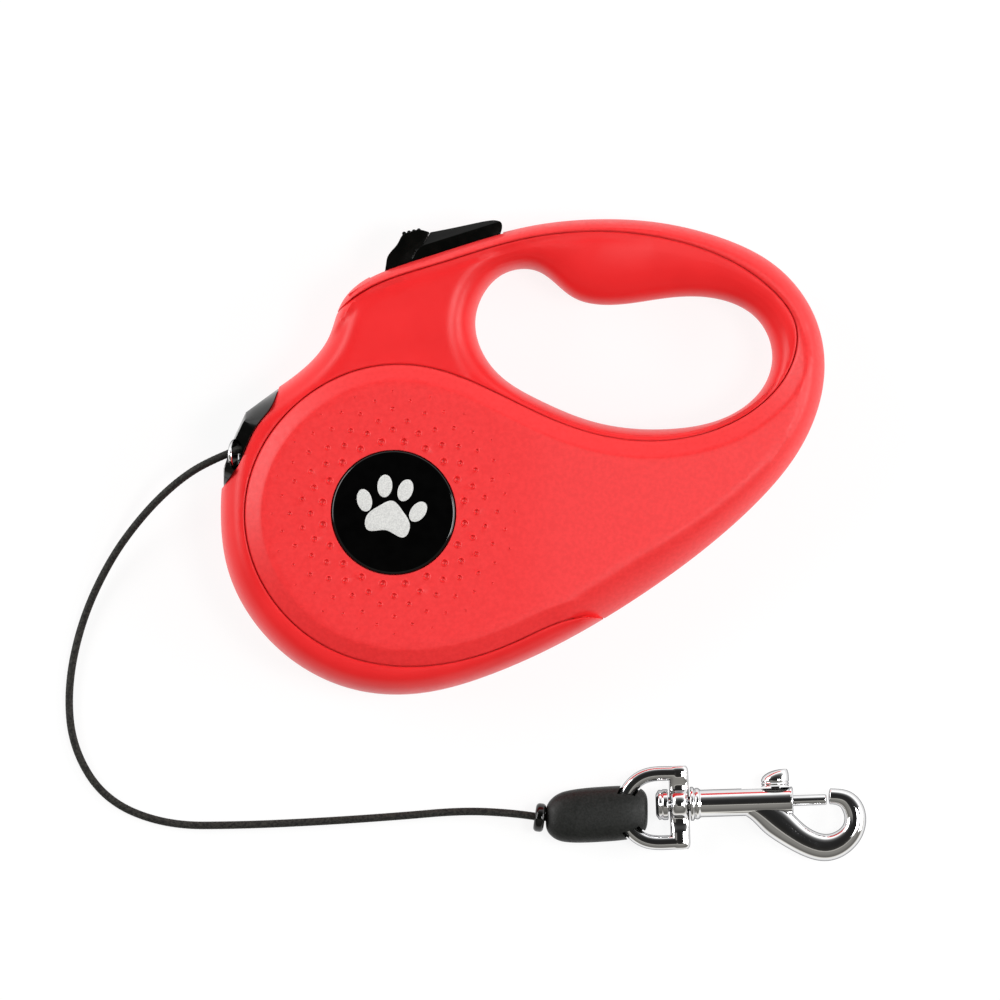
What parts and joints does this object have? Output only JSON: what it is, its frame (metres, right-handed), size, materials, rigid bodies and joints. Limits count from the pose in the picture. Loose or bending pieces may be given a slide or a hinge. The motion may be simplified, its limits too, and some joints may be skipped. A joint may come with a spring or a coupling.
{
  "type": "retractable leash",
  "caption": "Retractable dog leash: sprung cord reel in a drop-shaped housing with a finger grip, thumb brake, free cord and bolt snap.",
  "frame": {"origin": "on the reel's axis, on the flat back cover that the leash rests on", "axes": "+X from the cord outlet to the grip, +Y from the reel to the thumb button, +Z from the back cover to the front cover"},
  "size_m": [0.2251, 0.1802, 0.0325],
  "materials": {
    "red_shell": "fine satin grain, moulded",
    "red_cover": "soft-touch satin overlay with a grid of small dimples",
    "badge_gloss": "polished",
    "black_gloss": "polished",
    "inner_plastic": "plain moulded acetal",
    "steel": "turned",
    "spring_steel": "tempered, slightly blue",
    "chrome": "bright plated zinc",
    "cord_braid": "tight round braid",
    "boot_rubber": "matte, fine speckle"
  },
  "bodies": {
    "housing": {"back_shell": "red_shell", "front_shell": "red_shell", "back_cover": "red_cover", "front_cover": "red_cover", "front_badge": "badge_gloss", "back_badge": "badge_gloss", "housing_screws": "steel", "reel_axle": "steel", "axle_clip": "steel", "axle_washers": "inner_plastic", "spring_arbor": "inner_plastic", "cord_inner_run": "cord_braid", "brake_pivot_pin": "steel", "brake_spring": "spring_steel", "cord_nozzle": "black_gloss", "nozzle_eyelet": "chrome", "cord_free": "cord_braid", "cord_bead": "black_gloss", "cord_boot": "boot_rubber"},
    "drum": {"drum": "inner_plastic", "drum_flange": "inner_plastic", "spring_cover": "inner_plastic", "power_spring": "spring_steel", "cord_winding": "cord_braid"},
    "button": {"brake_button": "black_gloss"},
    "lock": {"lock_slider": "black_gloss"},
    "pawl": {"brake_pawl": "inner_plastic"},
    "ring": {"snap_ring": "chrome"},
    "hook": {"snap_hook": "chrome", "snap_spring": "spring_steel"},
    "bolt": {"snap_bolt": "chrome"}
  },
  "joints": [
    {"name": "drum_spin", "type": "hinge", "parent": "housing", "child": "drum", "pos_m": [0, 0, 0.016], "axis": [0, 0, 1], "continuous": true},
    {"name": "brake_press", "type": "hinge", "parent": "housing", "child": "button", "pos_m": [0.0225, 0.0695, 0.016], "axis": [0, 0, 1], "range_deg": [0, 7.5], "stiffness_Nm_per_rad": 0.8, "springref_deg": -8.59, "deforming": ["brake_spring"]},
    {"name": "pawl_drop", "type": "slide", "parent": "housing", "child": "pawl", "axis": [0, -1, 0], "range_m": [0, 0.003]},
    {"name": "lock_slide", "type": "slide", "parent": "button", "child": "lock", "axis": [-0.9323, -0.3616, 0], "range_m": [0, 0.003]},
    {"name": "ring_swing", "type": "hinge", "parent": "housing", "child": "ring", "pos_m": [0.06423, -0.0824, 0.005], "axis": [0.0314, -0.9995, 0], "range_deg": [0, 12]},
    {"name": "hook_swivel", "type": "hinge", "parent": "ring", "child": "hook", "pos_m": [0.08, -0.0819, 0.005], "axis": [0.9995, 0.0314, 0], "continuous": true},
    {"name": "bolt_slide", "type": "slide", "parent": "hook", "child": "bolt", "axis": [-0.9995, -0.0314, 0], "range_m": [0, 0.008], "stiffness_N_per_m": 350, "springref_m": -0.009, "deforming": ["snap_spring"]}
  ],
  "couplings": [
    {"joint": "pawl_drop", "follows": "brake_press", "m_per_rad": 0.0225}
  ]
}
